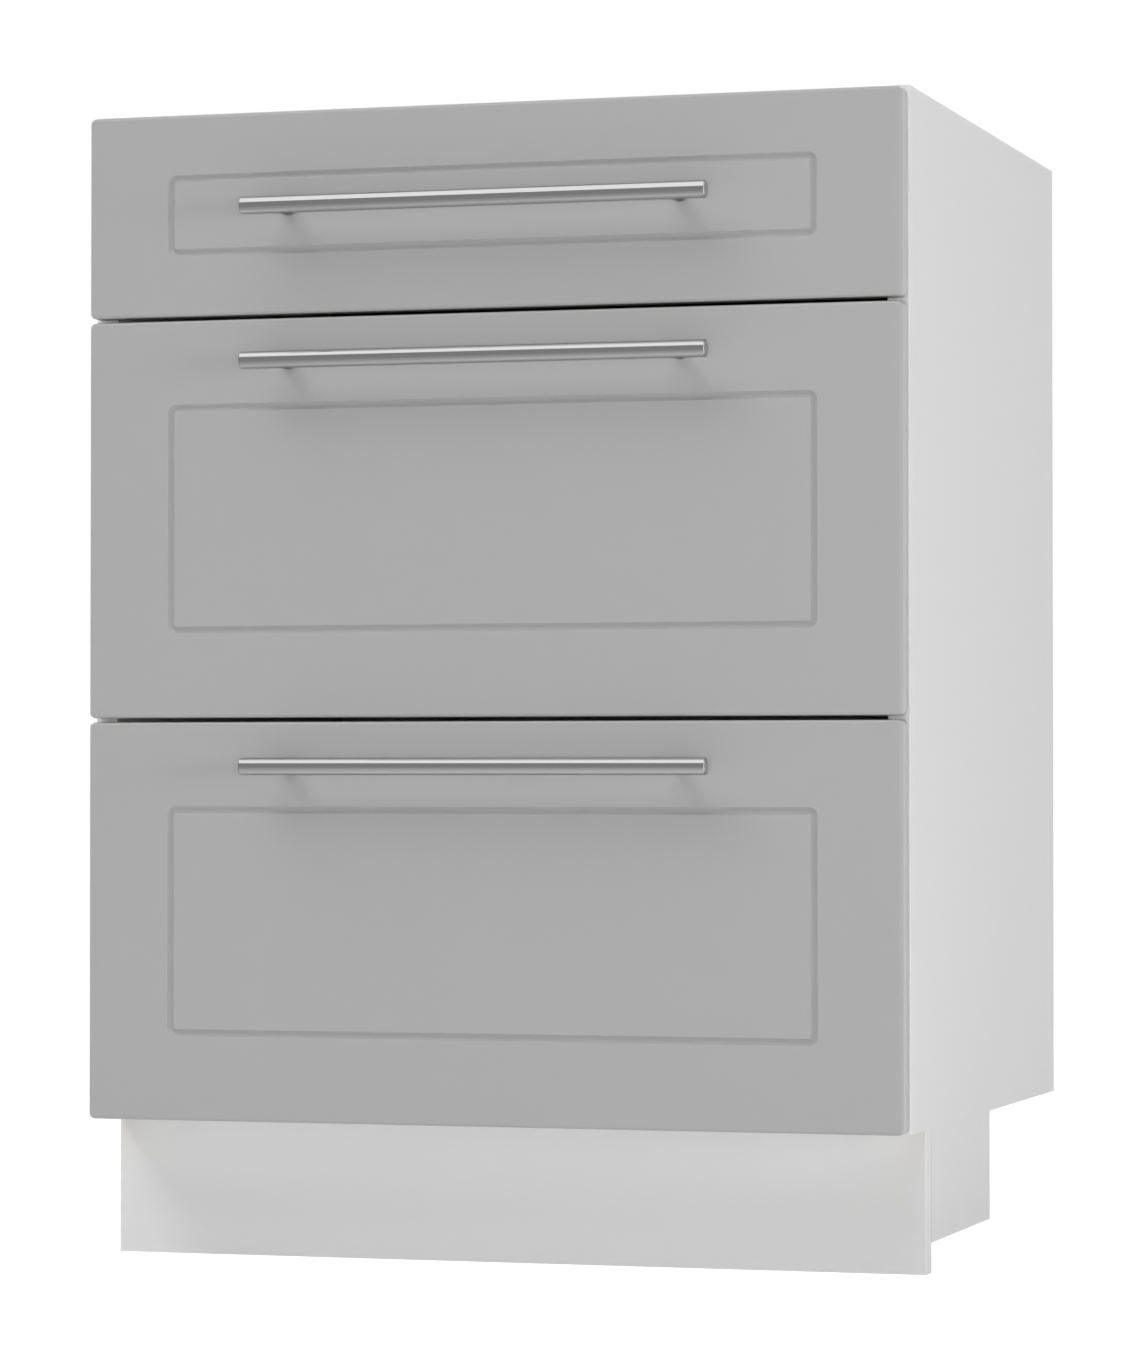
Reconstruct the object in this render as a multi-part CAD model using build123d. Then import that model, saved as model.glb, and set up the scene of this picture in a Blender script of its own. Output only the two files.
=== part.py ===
from build123d import *
import os

# Kitchen base cabinet, 600 mm module, with three drawers on ball runners.
# Millimetres, +Z up. The fronts face -Y. The origin is on the floor, under
# the middle of the cabinet and its handles. Right-hand pieces are at +X, and
# the left-hand ones are their mirror images. Only the handles sit off the middle.

# ---------------------------------------------------------------- carcass
carcass_width = 600
carcass_depth = 500
carcass_height = 720
board = 16
board_edge_radius = 0.8
rail_width = 100
back_thickness = 3
back_inset = 14
back_groove_depth = 8
worktop_hole_centres = 400
worktop_hole_diameter = 5

# ---------------------------------------------------------------- plinth
plinth_height = 100
plinth_setback = 47
plinth_thickness = 16
return_length = 195
return_floor_gap = 21

# ---------------------------------------------------------------- legs
leg_side_inset = 85
front_leg_offset = 45
rear_leg_offset = 70
leg_flange_radius = 30
leg_flange_thickness = 5
leg_tube_radius = 18
leg_tube_wall = 3
leg_gusset_height = 18
leg_gusset_thickness = 2.5
leg_gusset_edge = 2
foot_radius = 25
foot_thickness = 6
foot_edge_radius = 1.5
foot_raise = 12
foot_drop = 20
foot_grip = 19
foot_clearance = 4
foot_stem_play = 0.1
clip_ring_wall = 3
clip_ring_height = 16
clip_mouth_width = 26
clip_plate_width = 44
clip_plate_height = 30
clip_plate_thickness = 3
clip_stem_width = 16

# ---------------------------------------------------------------- drawer fronts
front_thickness = 16
front_gap = 1.5
side_reveal = 1.5
top_reveal = 2.5
bottom_reveal = 0.5
drawer_gap = 3
short_front_height = 144
front_corner_radius = 4
front_edge_radius = 2.5
groove_width = 4.6
groove_depth = 2.2
groove_lip_radius = 0.9
groove_turn_radius = 4
frame_width = 62.5
short_frame_width = 45.5
bumper_diameter = 8
bumper_inset = 14

# ---------------------------------------------------------------- handles
bar_diameter = 12
bar_length = 340
bar_end_chamfer = 0.6
handle_centres = 288
handle_shift = -3
handle_standoff = 26
short_handle_drop = 69.5
tall_handle_drop = 31.8
post_diameter = 10
post_seat_depth = 3.5
post_thread_depth = 12
handle_screw_diameter = 4
handle_screw_head_diameter = 8
handle_screw_head_height = 2.6

# ---------------------------------------------------------------- drawer boxes
box_board = 12
box_rise = 28
short_box_drop = 34
tall_box_drop = 70
base_thickness = 3
base_groove_depth = 6
base_groove_rise = 10
corner_screw_length = 35
corner_screw_inset = 18
front_screw_centres = 360
front_screw_inset = 20

# ---------------------------------------------------------------- ball runners
runner_rear_space = 31
runner_overlap = 110
runner_setback = 2
runner_thickness = 12.5
runner_height = 35
runner_rise = 43
runner_sheet = 1.2
runner_bend_radius = 0.4
ball_diameter = 4
cabinet_lip_height = 2
cage_sheet = 0.7
cage_web_gap = 0.7
ball_pitch = 17
stop_thickness = 1.5
stop_height = 16
runner_screw_inset = 35

# ---------------------------------------------------------------- fasteners
dowel_diameter = 8
dowel_length = 30
dowel_edge_depth = 10
dowel_chamfer = 1
cam_diameter = 15
cam_depth = 12.5
cam_backset = 34
cam_bolt_diameter = 7
cam_bolt_bore_diameter = 8
cam_thread_diameter = 5
cam_thread_depth = 11
panel_cam_inset = 37
panel_dowel_inset = 69
rail_fitting_inset = 30
return_dowel_inset = 40
screw_diameter = 3.5
screw_head_diameter = 7
screw_cover = 3
recess_width = 0.9
recess_span = 3.6
recess_depth = 1

# ---------------------------------------------------------------- clearances
fastener_play = 0.1
groove_play = 0.1
hole_end_play = 0.5
ball_play = 0.1
sliding_gap = 0.3
bar_seat_play = 0.05

# ---------------------------------------------------------------- planes of the cabinet
handle_reach = handle_standoff + bar_diameter / 2
overall_depth = handle_reach + front_thickness + front_gap + carcass_depth
y_front_face = handle_reach - overall_depth / 2
y_front_back = y_front_face + front_thickness
y_edge = y_front_back + front_gap
y_rear = y_edge + carcass_depth
y_back_panel = y_rear - back_inset - back_thickness
y_plinth = y_edge + plinth_setback
y_plinth_back = y_plinth + plinth_thickness
y_bar = y_front_face - handle_standoff
z_carcass = plinth_height
z_top = z_carcass + carcass_height
half_width = carcass_width / 2
inner_half = half_width - board
front_half = half_width - side_reveal

# Heights of the fronts: the top one is set, and the two below share the rest.
z_fronts_bottom = z_carcass + bottom_reveal
z_fronts_top = z_top - top_reveal
tall_front_height = (z_fronts_top - z_fronts_bottom - short_front_height - 2 * drawer_gap) / 2
z_middle_front = z_fronts_bottom + tall_front_height + drawer_gap
z_top_front = z_fronts_top - short_front_height

# The box hangs behind its front, between the two runners.
box_half = inner_half - runner_thickness
box_inner_half = box_half - box_board
y_runner = y_edge + runner_setback
y_runner_end = y_back_panel - runner_rear_space
runner_length = y_runner_end - y_runner
y_box_end = y_runner_end
y_box_front_inside = y_front_back + box_board
y_box_back_inside = y_box_end - box_board

# Runner section. Heights go up from its centre line: drawer channel, balls, cabinet channel.
race_half = runner_height / 2 - runner_sheet
drawer_channel_half = race_half - ball_diameter - 2 * ball_play
ball_row_height = (race_half + drawer_channel_half) / 2
drawer_lip_height = ball_row_height - drawer_channel_half - cage_sheet / 2 - sliding_gap

# Depths go from the side panel towards the box: cabinet web, cage web, drawer lip, balls, cabinet lip.
drawer_flange_start = runner_sheet + cage_web_gap + cage_sheet + sliding_gap
cabinet_flange_depth = drawer_flange_start + ball_diameter + 2 * ball_play + 2 * runner_sheet
ball_depth = (drawer_flange_start + cabinet_flange_depth) / 2
runner_travel = runner_length - runner_overlap
cage_end_margin = stop_thickness + sliding_gap
cage_length = runner_overlap - 2 * cage_end_margin
y_cage = y_runner + runner_travel / 2 + cage_end_margin

# Screws stop short of the far face of the board that they hold.
front_screw_length = box_board + front_thickness - groove_depth - screw_cover
runner_screw_length = runner_sheet + box_board - screw_cover
leg_screw_length = leg_flange_thickness + board - screw_cover
clip_screw_length = clip_plate_thickness + plinth_thickness - screw_cover
leg_screw_circle_radius = (leg_tube_radius + leg_flange_radius) / 2

LEFT = Vector(-1, 0, 0)
RIGHT = Vector(1, 0, 0)
FORWARD = Vector(0, -1, 0)
REARWARD = Vector(0, 1, 0)
UP = Vector(0, 0, 1)
DOWN = Vector(0, 0, -1)
FROM_BASE = (Align.CENTER, Align.CENTER, Align.MIN)
SIDES = (-1, 1)


# ---------------------------------------------------------------- building blocks
def block(x_span, y_span, z_span):
    """A board between two corners."""
    spans = (x_span, y_span, z_span)
    size = [high - low for low, high in spans]
    middle = [(low + high) / 2 for low, high in spans]
    return Pos(*middle) * Box(*size)


def rod(start, direction, radius, length):
    """A round bar from a point along a direction."""
    return Plane(origin=start, z_dir=direction) * Cylinder(radius, length, align=FROM_BASE)


def centred(half):
    """The span from minus half to plus half."""
    return (-half, half)


def mirrored(shape):
    """The left-hand copy of a right-hand piece."""
    return mirror(shape, about=Plane.YZ)


def both_sides(shapes):
    """Right-hand shapes and their left-hand copies."""
    return [*shapes, *[mirrored(shape) for shape in shapes]]


def channel(outline, y_start, y_end):
    """A rolled section along Y, from its outline in X and Z."""
    section = fillet(make_face(Polyline(*outline, close=True)).vertices(), runner_bend_radius)
    return extrude(Plane(origin=(0, y_end, 0), x_dir=RIGHT, z_dir=FORWARD) * section, y_end - y_start)


# ---------------------------------------------------------------- fasteners
def screw_outline(length, play):
    """Half section of a countersunk wood screw, head at the origin, pointing down."""
    head = screw_head_diameter / 2 + play
    shank = screw_diameter / 2 + play
    head_height = head - shank
    return Polyline(
        (0, 0), (head, 0), (shank, -head_height), (shank, screw_diameter - length), (0, -length), close=True
    )


def wood_screw(length):
    """Countersunk screw with a cross recess."""
    screw = revolve(Plane.XZ * make_face(screw_outline(length, 0)), Axis.Z)
    slot = Box(recess_span, recess_width, 2 * recess_depth)
    return screw - slot - Rot(0, 0, 90) * slot


def screw_hole(length):
    """The space that a countersunk screw takes."""
    hole = revolve(Plane.XZ * make_face(screw_outline(length + hole_end_play, fastener_play)), Axis.Z)
    return hole + Cylinder(screw_head_diameter / 2 + fastener_play, hole_end_play, align=FROM_BASE)


def handle_screw(place, grip):
    """Pan-head machine screw through a front of the given grip and into the post."""
    shank_length = grip + post_thread_depth - hole_end_play
    head = rod(place, REARWARD, handle_screw_head_diameter / 2, handle_screw_head_height)
    shank = rod(place, FORWARD, handle_screw_diameter / 2, shank_length)
    slot_place = place + REARWARD * handle_screw_head_height
    slot = Pos(*slot_place) * Box(recess_span, 2 * recess_depth, recess_width)
    cross_slot = Pos(*slot_place) * Box(recess_width, 2 * recess_depth, recess_span)
    return head + shank - slot - cross_slot


def panel_fitting_rows():
    """Places along Y and heights of the cams and of the dowels, on a side panel's inner face."""
    z_base = z_carcass + board / 2
    z_rail = z_top - board / 2
    cams = [(y_edge + panel_cam_inset, z_base), (y_rear - panel_cam_inset, z_base)]
    dowels = [(y_edge + panel_dowel_inset, z_base), (y_rear - panel_dowel_inset, z_base)]
    for y_rail in (y_edge, y_back_panel - rail_width):
        cams.append((y_rail + rail_fitting_inset, z_rail))
        dowels.append((y_rail + rail_width - rail_fitting_inset, z_rail))
    return cams, dowels


def cam_centres():
    """Centres of the right-hand cams, on the underside of their board."""
    cams, _ = panel_fitting_rows()
    return [Vector(inner_half - cam_backset, y, z - board / 2) for y, z in cams]


def cam_bolt(y, z):
    """Bolt screwed into the side panel, with its head held in the cam."""
    shoulder = Vector(inner_half, y, z)
    thread = rod(shoulder, RIGHT, cam_thread_diameter / 2, cam_thread_depth)
    shank = rod(shoulder, LEFT, cam_bolt_diameter / 2, cam_backset)
    return thread + shank


def cam_bolt_bore(y, z):
    """Bore for a cam bolt, through the end of the board to the cam, and its pilot in the side panel."""
    shoulder = Vector(inner_half, y, z)
    pilot = rod(shoulder, RIGHT, cam_thread_diameter / 2 + fastener_play, cam_thread_depth + hole_end_play)
    bore = rod(shoulder, LEFT, cam_bolt_bore_diameter / 2, cam_backset)
    return pilot + bore


def cam_disc(centre, y, z):
    """Cam with a bore for its bolt and a cross recess in its open face."""
    disc = rod(centre, UP, cam_diameter / 2, cam_depth)
    shoulder = Vector(inner_half, y, z)
    bolt_space = rod(shoulder, LEFT, cam_bolt_bore_diameter / 2, cam_backset + hole_end_play)
    slot = Box(2 * recess_span, 2 * recess_width, 2 * recess_depth)
    cross = Pos(*centre) * (slot + Rot(0, 0, 90) * slot)
    return disc - bolt_space - cross


def dowel_starts():
    """Outer ends and directions of all right-hand dowels: each ends in the edge of the next board."""
    _, rows = panel_fitting_rows()
    starts = [(Vector(inner_half + dowel_edge_depth, y, z), LEFT) for y, z in rows]
    x_return = half_width - board / 2
    for y in (y_plinth_back + return_dowel_inset, y_plinth_back + return_length - return_dowel_inset):
        starts.append((Vector(x_return, y, z_carcass + dowel_edge_depth), DOWN))
    z_return_middle = (return_floor_gap + plinth_height) / 2
    starts.append((Vector(x_return, y_plinth_back - dowel_edge_depth, z_return_middle), REARWARD))
    return starts


def dowel(start, direction):
    """Fluted wooden dowel, drawn plain."""
    pin = rod(start, direction, dowel_diameter / 2, dowel_length)
    return chamfer(pin.edges().filter_by(GeomType.CIRCLE), dowel_chamfer)


def dowel_bore(start, direction):
    """Bore for a dowel, a little longer at both ends."""
    outer_end = start - direction * hole_end_play
    return rod(outer_end, direction, dowel_diameter / 2 + fastener_play, dowel_length + 2 * hole_end_play)


def fitting_bores():
    """Every bore that the right-hand cams, bolts and dowels need in the boards."""
    cams, _ = panel_fitting_rows()
    bores = [cam_bolt_bore(y, z) for y, z in cams]
    bores += [
        rod(centre, UP, cam_diameter / 2 + fastener_play, cam_depth + fastener_play)
        for centre in cam_centres()
    ]
    bores += [dowel_bore(start, direction) for start, direction in dowel_starts()]
    return bores


# ---------------------------------------------------------------- runners
def runner_screw_places(z, x, facing):
    """Three screw places along a runner member, on the plane at x that faces the driver."""
    distances = (runner_screw_inset, runner_length / 2, runner_length - runner_screw_inset)
    return [Plane(origin=(x, y_runner + distance, z), z_dir=facing) for distance in distances]


def cabinet_member_screws(z):
    """Screw places of the right-hand cabinet member, from inside its channel."""
    return runner_screw_places(z, inner_half - runner_sheet, LEFT)


def drawer_member_screws(z):
    """Screw places of the right-hand drawer member, from inside its channel."""
    return runner_screw_places(z, box_half + runner_sheet, RIGHT)


def member_stop(x_span, y_start, z):
    """Tab across a channel that the ball cage comes up against."""
    z_span = (z - stop_height / 2, z + stop_height / 2)
    return block(x_span, (y_start, y_start + stop_thickness), z_span)


def cabinet_member(z):
    """Outer channel, screwed to the side panel, with a stop for the ball cage at its front end."""
    x_web = inner_half
    x_tip = inner_half - cabinet_flange_depth
    x_inside = x_web - runner_sheet
    half = runner_height / 2
    lip = race_half - cabinet_lip_height
    x_lip = x_tip + runner_sheet
    outline = [
        (x_web, z - half), (x_tip, z - half), (x_tip, z - lip), (x_lip, z - lip),
        (x_lip, z - race_half), (x_inside, z - race_half),
        (x_inside, z + race_half), (x_lip, z + race_half),
        (x_lip, z + lip), (x_tip, z + lip), (x_tip, z + half), (x_web, z + half),
    ]
    member = channel(outline, y_runner, y_runner_end)
    x_stop = inner_half - drawer_flange_start + sliding_gap
    stop = member_stop((x_stop, x_inside), y_runner, z)
    holes = [place * screw_hole(runner_screw_length) for place in cabinet_member_screws(z)]
    return member + stop - holes


def drawer_member(z):
    """Inner channel, screwed to the box side, with a stop for the ball cage at its rear end."""
    x_web = box_half
    x_inside = x_web + runner_sheet
    x_tip = inner_half - drawer_flange_start
    half = drawer_channel_half
    lip = half + drawer_lip_height
    x_lip = x_tip - runner_sheet
    outline = [
        (x_web, z - half), (x_lip, z - half), (x_lip, z - lip), (x_tip, z - lip),
        (x_tip, z - half + runner_sheet), (x_inside, z - half + runner_sheet),
        (x_inside, z + half - runner_sheet), (x_tip, z + half - runner_sheet),
        (x_tip, z + lip), (x_lip, z + lip), (x_lip, z + half), (x_web, z + half),
    ]
    member = channel(outline, y_runner, y_runner_end)
    x_stop = inner_half - runner_sheet - sliding_gap
    stop = member_stop((x_web, x_stop), y_runner_end - stop_thickness, z)
    holes = [place * screw_hole(runner_screw_length) for place in drawer_member_screws(z)]
    return member + stop - holes


def ball_places(z):
    """Ball centres in the upper and lower rows of the right-hand cage."""
    x = inner_half - ball_depth
    count = int((cage_length - ball_pitch) // ball_pitch) + 1
    y_first = y_cage + (cage_length - (count - 1) * ball_pitch) / 2
    rows = (z - ball_row_height, z + ball_row_height)
    return [Vector(x, y_first + n * ball_pitch, row) for row in rows for n in range(count)]


def ball_cage(z):
    """Sheet cage that keeps the balls apart between the two channels."""
    x_back = inner_half - runner_sheet - cage_web_gap
    x_front = inner_half - cabinet_flange_depth + runner_sheet + sliding_gap
    half = ball_row_height + cage_sheet / 2
    outline = [
        (x_back, z - half), (x_front, z - half), (x_front, z - half + cage_sheet),
        (x_back - cage_sheet, z - half + cage_sheet), (x_back - cage_sheet, z + half - cage_sheet),
        (x_front, z + half - cage_sheet), (x_front, z + half), (x_back, z + half),
    ]
    section = make_face(Polyline(*outline, close=True))
    strip = extrude(
        Plane(origin=(0, y_cage + cage_length, 0), x_dir=RIGHT, z_dir=FORWARD) * section, cage_length
    )
    pockets = [
        Pos(*place) * Cylinder(ball_diameter / 2 + ball_play, 2 * cage_sheet) for place in ball_places(z)
    ]
    return strip - pockets


def cage_with_balls(z):
    """The right-hand cage and its balls, each a solid of its own."""
    balls = [Pos(*place) * Sphere(ball_diameter / 2) for place in ball_places(z)]
    return [ball_cage(z), *balls]


# ---------------------------------------------------------------- carcass
def side_panel(drawers):
    """Right-hand side, grooved for the back, bored for its fittings and runner screws."""
    panel = block((inner_half, half_width), (y_edge, y_rear), (z_carcass, z_top))
    panel = fillet(panel.edges().filter_by(Axis.Z), board_edge_radius)
    groove = block(
        (inner_half, inner_half + back_groove_depth),
        (y_back_panel - groove_play, y_back_panel + back_thickness + groove_play),
        (z_carcass, z_top),
    )
    runner_holes = [
        place * screw_hole(runner_screw_length)
        for drawer in drawers
        for place in cabinet_member_screws(drawer["z_runner"])
    ]
    return panel - groove - fitting_bores() - runner_holes


def bottom_panel():
    """Floor of the carcass, between the sides, grooved for the back and bored for the leg screws."""
    panel = block(centred(inner_half), (y_edge, y_rear), (z_carcass, z_carcass + board))
    groove = block(
        centred(inner_half),
        (y_back_panel - groove_play, y_back_panel + back_thickness + groove_play),
        (z_carcass + board - back_groove_depth, z_carcass + board),
    )
    leg_holes = [place * screw_hole(leg_screw_length) for place in leg_screw_places()]
    return panel - groove - both_sides(fitting_bores()) - leg_holes


def top_rail(y_start):
    """Flat rail that ties the sides and carries the worktop."""
    rail = block(centred(inner_half), (y_start, y_start + rail_width), (z_top - board, z_top))
    holes = [
        rod(Vector(side * worktop_hole_centres / 2, y_start + rail_width / 2, z_top), DOWN,
            worktop_hole_diameter / 2, board)
        for side in SIDES
    ]
    return rail - both_sides(fitting_bores()) - holes


def back_panel():
    """Thin back, slid down the grooves of the sides into the groove of the bottom."""
    reach = inner_half + back_groove_depth - hole_end_play
    z_low = z_carcass + board - back_groove_depth + hole_end_play
    return block(centred(reach), (y_back_panel, y_back_panel + back_thickness), (z_low, z_top))


# ---------------------------------------------------------------- base
def plinth_panel():
    """Front kickboard, standing on the floor."""
    panel = block(centred(half_width), (y_plinth, y_plinth_back), (0, plinth_height))
    panel = fillet(panel.edges().filter_by(Axis.Z), board_edge_radius)
    clip_holes = [place * screw_hole(clip_screw_length) for place in clip_screw_places()]
    return panel - both_sides(fitting_bores()) - clip_holes


def plinth_return():
    """Short board under the right-hand side, from the plinth back, clear of the floor."""
    x_span = (half_width - board, half_width)
    y_span = (y_plinth_back, y_plinth_back + return_length)
    return block(x_span, y_span, (return_floor_gap, plinth_height)) - fitting_bores()


def leg_places():
    """Axes of the four legs, by name."""
    x = half_width - leg_side_inset
    y_front = y_plinth_back + front_leg_offset
    y_back = y_rear - rear_leg_offset
    return {
        "front_left": (-x, y_front),
        "front_right": (x, y_front),
        "rear_left": (-x, y_back),
        "rear_right": (x, y_back),
    }


def leg_screw_places():
    """Four screws through each flange, driven upwards."""
    underside = z_carcass - leg_flange_thickness
    ring = PolarLocations(leg_screw_circle_radius, 4, 45)
    centres = [Vector(x, y, underside) for x, y in leg_places().values()]
    return [Plane(origin=centre, x_dir=RIGHT, z_dir=DOWN) * place for centre in centres for place in ring]


def leg_gusset():
    """Rib between the flange and the tube of a leg that stands at the origin."""
    z_flange = z_carcass - leg_flange_thickness
    inner = leg_tube_radius - leg_tube_wall / 2
    outer = leg_flange_radius - leg_gusset_edge
    outline = [(inner, z_flange), (outer, z_flange), (inner, z_flange - leg_gusset_height)]
    return extrude(Plane.XZ * make_face(Polyline(*outline, close=True)), leg_gusset_thickness / 2, both=True)


def leg_socket(x, y):
    """Flange, gussets and tube that carry the carcass on a screw-in foot."""
    tube_end = Vector(x, y, foot_thickness + foot_raise + foot_clearance)
    tube_length = z_carcass - leg_flange_thickness - tube_end.Z
    flange = rod(Vector(x, y, z_carcass), DOWN, leg_flange_radius, leg_flange_thickness)
    tube = rod(tube_end, UP, leg_tube_radius, tube_length)
    bore = rod(tube_end, UP, leg_tube_radius - leg_tube_wall, tube_length)
    gussets = [Pos(x, y, 0) * Rot(0, 0, turn) * leg_gusset() for turn in range(0, 360, 90)]
    screw_holes = [place * screw_hole(leg_screw_length) for place in leg_screw_places()]
    return flange + tube + gussets - bore - screw_holes


def foot(x, y):
    """Round foot with the stem that screws into the leg's tube."""
    stem_length = foot_raise + foot_clearance + foot_drop + foot_grip
    pad = rod(Vector(x, y, 0), UP, foot_radius, foot_thickness)
    pad = fillet(pad.edges().filter_by(GeomType.CIRCLE), foot_edge_radius)
    stem_radius = leg_tube_radius - leg_tube_wall - foot_stem_play
    return pad + rod(Vector(x, y, foot_thickness), UP, stem_radius, stem_length)


def clip_height():
    """Middle of the clip, half way up the tube of the leg."""
    return (z_carcass + foot_thickness) / 2


def clip_screw_places():
    """Two screws in each clip plate, driven forwards into the plinth."""
    x_leg = half_width - leg_side_inset
    offset = (clip_plate_width / 2 + clip_stem_width / 2) / 2
    y = y_plinth_back + clip_plate_thickness
    return [
        Plane(origin=(side * x_leg + shift, y, clip_height()), z_dir=REARWARD)
        for side in SIDES
        for shift in (-offset, offset)
    ]


def plinth_clip(x, y):
    """Spring clip that joins the plinth to a front leg."""
    z_span = (clip_height() - clip_ring_height / 2, clip_height() + clip_ring_height / 2)
    ring_radius = leg_tube_radius + fastener_play + clip_ring_wall
    base = Vector(x, y, z_span[0])
    ring = rod(base, UP, ring_radius, clip_ring_height)
    stem = block((x - clip_stem_width / 2, x + clip_stem_width / 2), (y_plinth_back, y), z_span)
    plate = block(
        (x - clip_plate_width / 2, x + clip_plate_width / 2),
        (y_plinth_back, y_plinth_back + clip_plate_thickness),
        (clip_height() - clip_plate_height / 2, clip_height() + clip_plate_height / 2),
    )
    tube_space = rod(base, UP, leg_tube_radius + fastener_play, clip_ring_height)
    mouth = block((x - clip_mouth_width / 2, x + clip_mouth_width / 2), (y, y + 2 * ring_radius), z_span)
    holes = [place * screw_hole(clip_screw_length) for place in clip_screw_places()]
    return ring + stem + plate - tube_space - mouth - holes


def bumper(z):
    """Soft dot on the right-hand front edge, which the closed front comes up to."""
    place = Vector(half_width - board / 2, y_edge, z)
    return rod(place, FORWARD, bumper_diameter / 2, front_gap - sliding_gap)


# ---------------------------------------------------------------- drawers
def groove_cutter(x_half, z_low, z_high):
    """The way of a round-nosed cutter round a rectangle, with a quarter ring where it turns."""
    cutter_radius = (groove_width**2 / 4 + groove_depth**2) / (2 * groove_depth)
    y_centre = y_front_face - cutter_radius + groove_depth
    outline = [(-x_half, z_low), (x_half, z_low), (x_half, z_high), (-x_half, z_high)]
    corners = [Vector(x, y_centre, z) for x, z in outline]
    pieces = []
    for start, end in zip(corners, corners[1:] + corners[:1]):
        way = (end - start).normalized()
        run = (end - start).length - 2 * groove_turn_radius
        pieces.append(rod(start + way * groove_turn_radius, way, cutter_radius, run))
        inwards = FORWARD.cross(way)
        turn_centre = end + (inwards - way) * groove_turn_radius
        turn = Plane(origin=turn_centre, x_dir=-inwards, z_dir=FORWARD)
        pieces.append(turn * Torus(groove_turn_radius, cutter_radius, major_angle=90, align=None))
    return pieces


def drawer_front(drawer):
    """Rounded front with a routed groove, bored for the handle and for the screws from the box."""
    z_low, z_high = drawer["z_front"]
    panel = block(centred(front_half), (y_front_face, y_front_back), (z_low, z_high))
    panel = fillet(panel.edges().filter_by(Axis.Y), front_corner_radius)
    panel = fillet(panel.faces().sort_by(Axis.Y)[0].edges(), front_edge_radius)
    border = drawer["frame_width"]
    panel -= groove_cutter(front_half - frame_width, z_low + border, z_high - border)
    x_border = front_half - frame_width / 2
    lips = panel.edges().filter_by_position(Axis.Y, y_front_face - groove_play, y_front_face + groove_play)
    lips = lips.filter_by_position(Axis.X, -x_border, x_border)
    lips = lips.filter_by_position(Axis.Z, z_low + border / 2, z_high - border / 2)
    panel = fillet(lips, groove_lip_radius)
    screw_bores = [
        rod(place, FORWARD, handle_screw_diameter / 2 + sliding_gap, drawer["handle_grip"])
        for place in handle_screw_places(drawer)
    ]
    holes = [place * screw_hole(front_screw_length) for place in front_screw_places(drawer)]
    return panel - screw_bores - holes


def x_posts():
    """Axes of the two posts of every handle."""
    return [handle_shift + side * handle_centres / 2 for side in SIDES]


def handle_screw_places(drawer):
    """Where the heads of the handle screws bear, behind the front or inside the box."""
    y = y_front_face + drawer["handle_grip"]
    return [Vector(x, y, drawer["z_handle"]) for x in x_posts()]


def handle_bar(drawer):
    """Round bar with chamfered ends and seats for its two posts."""
    start = Vector(handle_shift - bar_length / 2, y_bar, drawer["z_handle"])
    bar = rod(start, RIGHT, bar_diameter / 2, bar_length)
    bar = chamfer(bar.edges().filter_by(GeomType.CIRCLE), bar_end_chamfer)
    seat_radius = post_diameter / 2 + bar_seat_play
    seats = [
        rod(Vector(x, y_post_end(), drawer["z_handle"]), REARWARD, seat_radius, bar_diameter)
        for x in x_posts()
    ]
    return bar - seats


def y_post_end():
    """Bottom of the seat in the bar that takes the end of a post."""
    return y_bar + bar_diameter / 2 - post_seat_depth


def handle_post(x, z):
    """Round post from the front to its seat in the bar, threaded for the handle screw."""
    foot_end = Vector(x, y_front_face, z)
    post = rod(foot_end, FORWARD, post_diameter / 2, y_front_face - y_post_end())
    thread = rod(foot_end, FORWARD, handle_screw_diameter / 2 + fastener_play, post_thread_depth)
    return post - thread


def front_screw_places(drawer):
    """Four screws from inside the box into the front."""
    z_low, z_high = drawer["z_box"]
    return [
        Plane(origin=(side * front_screw_centres / 2, y_box_front_inside, z), z_dir=REARWARD)
        for side in SIDES
        for z in (z_low + front_screw_inset, z_high - front_screw_inset)
    ]


def corner_screw_places(drawer):
    """Screws through the right-hand side of the box into the ends of its front and back."""
    z_low, z_high = drawer["z_box"]
    return [
        Plane(origin=(box_half, y, z), z_dir=RIGHT)
        for y in (y_front_back + box_board / 2, y_box_end - box_board / 2)
        for z in (z_low + corner_screw_inset, z_high - corner_screw_inset)
    ]


def base_groove(drawer):
    """The groove all round the inside of the box that holds its base."""
    z_low = drawer["z_box"][0] + base_groove_rise
    return block(
        centred(box_inner_half + base_groove_depth),
        (y_box_front_inside - base_groove_depth, y_box_back_inside + base_groove_depth),
        (z_low - groove_play, z_low + base_thickness + groove_play),
    )


def box_side(drawer):
    """Right-hand side of the box."""
    side = block((box_inner_half, box_half), (y_front_back, y_box_end), drawer["z_box"])
    holes = [place * screw_hole(corner_screw_length) for place in corner_screw_places(drawer)]
    holes += [place * screw_hole(runner_screw_length) for place in drawer_member_screws(drawer["z_runner"])]
    return side - base_groove(drawer) - holes


def box_end(drawer, y_start):
    """Front or back of the box, between its sides."""
    end = block(centred(box_inner_half), (y_start, y_start + box_board), drawer["z_box"])
    corner_holes = [place * screw_hole(corner_screw_length) for place in corner_screw_places(drawer)]
    front_holes = [place * screw_hole(front_screw_length) for place in front_screw_places(drawer)]
    screw_bores = [
        rod(place, FORWARD, handle_screw_diameter / 2 + sliding_gap, drawer["handle_grip"])
        for place in handle_screw_places(drawer)
    ]
    return end - base_groove(drawer) - both_sides(corner_holes) - front_holes - screw_bores


def box_base(drawer):
    """Thin base, held in the grooves."""
    reach = base_groove_depth - hole_end_play
    z_low = drawer["z_box"][0] + base_groove_rise
    return block(
        centred(box_inner_half + reach),
        (y_box_front_inside - reach, y_box_back_inside + reach),
        (z_low, z_low + base_thickness),
    )


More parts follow.
